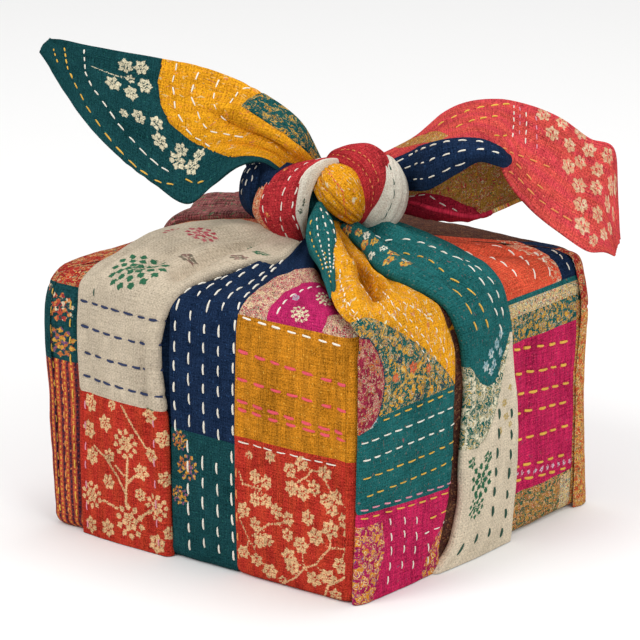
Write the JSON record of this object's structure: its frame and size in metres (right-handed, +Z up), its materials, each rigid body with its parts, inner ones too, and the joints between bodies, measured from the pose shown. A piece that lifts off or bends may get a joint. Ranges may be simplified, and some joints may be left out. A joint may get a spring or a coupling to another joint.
{
  "type": "fabric-wrapped gift",
  "caption": "Square gift box wrapped in one quilted patchwork cloth, tied on top in a knot with two spread ears.",
  "frame": {"origin": "centre of the flat base, on the surface that the gift rests on", "axes": "+Z up; -Y out of the face with the gathered band, +X out of the face with the folded strip"},
  "size_m": [0.195, 0.1651, 0.206],
  "materials": {
    "patchwork_cotton": "matt quilted cotton"
  },
  "bodies": {
    "root": {"wrapping_cloth": "patchwork_cotton"}
  },
  "joints": []
}
